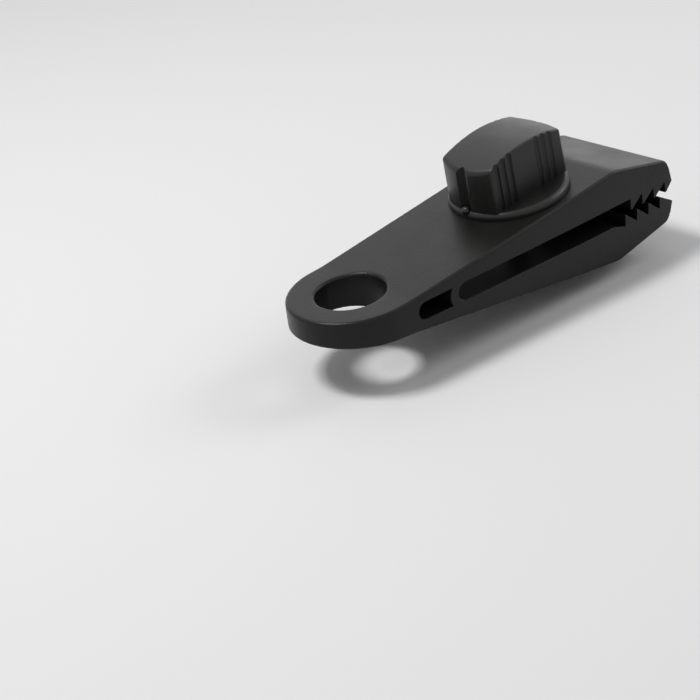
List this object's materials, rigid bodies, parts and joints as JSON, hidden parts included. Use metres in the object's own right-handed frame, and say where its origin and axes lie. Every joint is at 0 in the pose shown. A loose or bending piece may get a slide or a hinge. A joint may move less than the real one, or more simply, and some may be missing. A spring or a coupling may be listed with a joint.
{
  "type": "tarp clip",
  "caption": "Black moulded tarp clip: round eyelet, two tapered arms with saw-toothed jaws, a curved spring web between them, and a thumb knob whose bolt draws the jaws together.",
  "frame": {"origin": "centre of the eyelet's bore, on the clip's mid-plane", "axes": "+X from the eyelet to the jaws, +Z along the bore towards the knob's side, +Y across the jaws"},
  "size_m": [0.093, 0.03, 0.0356],
  "materials": {
    "clip_plastic": "fine moulded texture, satin",
    "knob_plastic": "moulded, satin",
    "bolt_steel": "zinc-plated",
    "nut_steel": "zinc-plated"
  },
  "bodies": {
    "clip": {"upper_jaw": "clip_plastic", "hinge_strip": "clip_plastic", "spring_web": "clip_plastic"},
    "jaw": {"lower_jaw": "clip_plastic"},
    "knob": {"thumb_knob": "knob_plastic", "clamp_bolt": "bolt_steel"},
    "nut": {"clamp_nut": "nut_steel"}
  },
  "joints": [
    {"name": "knob_turn", "type": "hinge", "parent": "clip", "child": "knob", "pos_m": [0.0454, 0, 0.0085], "axis": [-0.1175, 0, 0.9931], "range_deg": [-310, 1860]},
    {"name": "jaw_flex", "type": "hinge", "parent": "clip", "child": "jaw", "pos_m": [0.0118, 0, -0.00308], "axis": [0, 1, 0], "range_deg": [-1, 6], "deforming": ["hinge_strip", "spring_web"]},
    {"name": "nut_travel", "type": "slide", "parent": "clip", "child": "nut", "axis": [0.1175, 0, -0.9931], "range_m": [-0.0007, 0.0042]}
  ],
  "couplings": [
    {"joint": "jaw_flex", "follows": "knob_turn", "ratio": 0.0032234},
    {"joint": "nut_travel", "follows": "knob_turn", "m_per_rad": 0.00012732}
  ]
}
